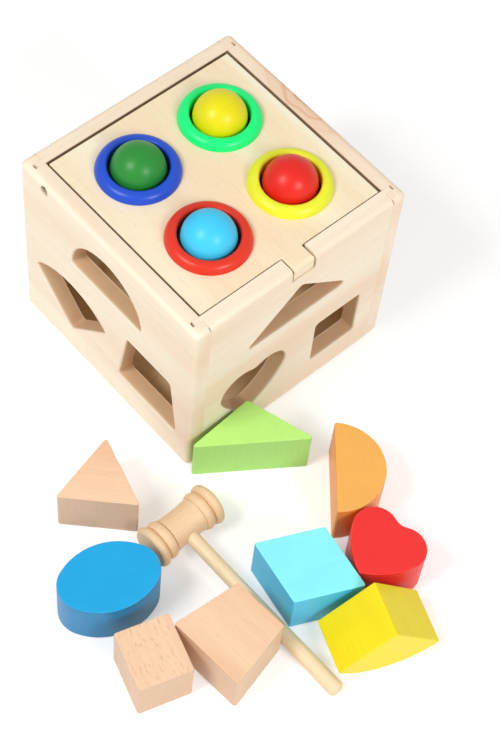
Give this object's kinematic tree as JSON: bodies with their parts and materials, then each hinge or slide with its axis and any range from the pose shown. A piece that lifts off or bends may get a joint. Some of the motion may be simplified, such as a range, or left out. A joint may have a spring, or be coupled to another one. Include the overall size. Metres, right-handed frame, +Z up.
{
  "type": "pounding cube",
  "caption": "Wooden toy box with balls held in rings on a hinged lid, a mallet to knock them through, and blocks for its shaped holes.",
  "frame": {"origin": "centre of the box's flat underside", "axes": "+Z up, -Y towards the front wall with the lid's lift tab, +X to the right as seen from the front"},
  "size_m": [0.2659, 0.319, 0.151],
  "materials": {
    "box_wood": "bare pale wood, sanded and clear-sealed",
    "lid_wood": "bare pale wood, sanded and clear-sealed",
    "bottom_ply": "bare thin board",
    "dowel_wood": "bare dowel",
    "ring_green": "glossy moulded",
    "ring_blue": "glossy moulded",
    "ring_yellow": "glossy moulded",
    "ring_red": "glossy moulded",
    "grip_rubber": "soft, matt",
    "ball_yellow": "gloss paint on wood",
    "ball_green": "gloss paint on wood",
    "ball_red": "gloss paint on wood",
    "ball_light_blue": "gloss paint on wood",
    "mallet_wood": "turned, waxed",
    "handle_wood": "turned, waxed",
    "block_bare": "bare, sanded",
    "block_green": "satin paint on wood",
    "block_blue": "satin paint on wood",
    "block_light_blue": "satin paint on wood",
    "block_red": "satin paint on wood",
    "block_orange": "satin paint on wood",
    "block_yellow": "satin paint on wood"
  },
  "bodies": {
    "box": {"left_wall": "box_wood", "right_wall": "box_wood", "front_wall": "box_wood", "back_wall": "box_wood", "bottom_panel": "bottom_ply", "hinge_pin_left": "dowel_wood", "hinge_pin_right": "dowel_wood"},
    "lid": {"lid_panel": "lid_wood", "ring_green": "ring_green", "ring_blue": "ring_blue", "ring_yellow": "ring_yellow", "ring_red": "ring_red", "grip_green": "grip_rubber", "grip_blue": "grip_rubber", "grip_yellow": "grip_rubber", "grip_red": "grip_rubber"},
    "yellow_ball": {"ball_yellow": "ball_yellow"},
    "green_ball": {"ball_green": "ball_green"},
    "red_ball": {"ball_red": "ball_red"},
    "light_blue_ball": {"ball_light_blue": "ball_light_blue"},
    "mallet": {"mallet_head": "mallet_wood", "mallet_handle": "handle_wood"},
    "flat_triangle_block": {"block_flat_triangle": "block_green"},
    "even_triangle_block": {"block_even_triangle": "block_bare"},
    "trapezoid_block": {"block_trapezoid": "block_bare"},
    "rectangle_block": {"block_rectangle": "block_bare"},
    "oval_block": {"block_oval": "block_blue"},
    "rhombus_block": {"block_rhombus": "block_light_blue"},
    "heart_block": {"block_heart": "block_red"},
    "semicircle_block": {"block_semicircle": "block_orange"},
    "quarter_block": {"block_quarter": "block_yellow"}
  },
  "joints": [
    {"name": "lid_hinge", "type": "hinge", "parent": "box", "child": "lid", "pos_m": [0, 0.05203, 0.12925], "axis": [-1, 0, 0], "range_deg": [0, 100]},
    {"name": "yellow_ball_knock", "type": "slide", "parent": "lid", "child": "yellow_ball", "axis": [0, 0, 1], "range_m": [-0.1137, 0.06], "deforming": ["grip_green"]},
    {"name": "green_ball_knock", "type": "slide", "parent": "lid", "child": "green_ball", "axis": [0, 0, 1], "range_m": [-0.1137, 0.06], "deforming": ["grip_blue"]},
    {"name": "red_ball_knock", "type": "slide", "parent": "lid", "child": "red_ball", "axis": [0, 0, 1], "range_m": [-0.1137, 0.06], "deforming": ["grip_yellow"]},
    {"name": "light_blue_ball_knock", "type": "slide", "parent": "lid", "child": "light_blue_ball", "axis": [0, 0, 1], "range_m": [-0.1137, 0.06], "deforming": ["grip_red"]},
    {"name": "mallet_lift", "type": "slide", "parent": "box", "child": "mallet", "axis": [0, 0, 1], "range_m": [0, 0.16]},
    {"name": "flat_triangle_block_lift", "type": "slide", "parent": "box", "child": "flat_triangle_block", "axis": [0, 0, 1], "range_m": [0, 0.16]},
    {"name": "even_triangle_block_lift", "type": "slide", "parent": "box", "child": "even_triangle_block", "axis": [0, 0, 1], "range_m": [0, 0.16]},
    {"name": "trapezoid_block_lift", "type": "slide", "parent": "box", "child": "trapezoid_block", "axis": [0, 0, 1], "range_m": [0, 0.16]},
    {"name": "rectangle_block_lift", "type": "slide", "parent": "box", "child": "rectangle_block", "axis": [0, 0, 1], "range_m": [0, 0.16]},
    {"name": "oval_block_lift", "type": "slide", "parent": "box", "child": "oval_block", "axis": [0, 0, 1], "range_m": [0, 0.16]},
    {"name": "rhombus_block_lift", "type": "slide", "parent": "box", "child": "rhombus_block", "axis": [0, 0, 1], "range_m": [0, 0.16]},
    {"name": "heart_block_lift", "type": "slide", "parent": "box", "child": "heart_block", "axis": [0, 0, 1], "range_m": [0, 0.16]},
    {"name": "semicircle_block_lift", "type": "slide", "parent": "box", "child": "semicircle_block", "axis": [0, 0, 1], "range_m": [0, 0.16]},
    {"name": "quarter_block_lift", "type": "slide", "parent": "box", "child": "quarter_block", "axis": [0, 0, 1], "range_m": [0, 0.16]}
  ]
}
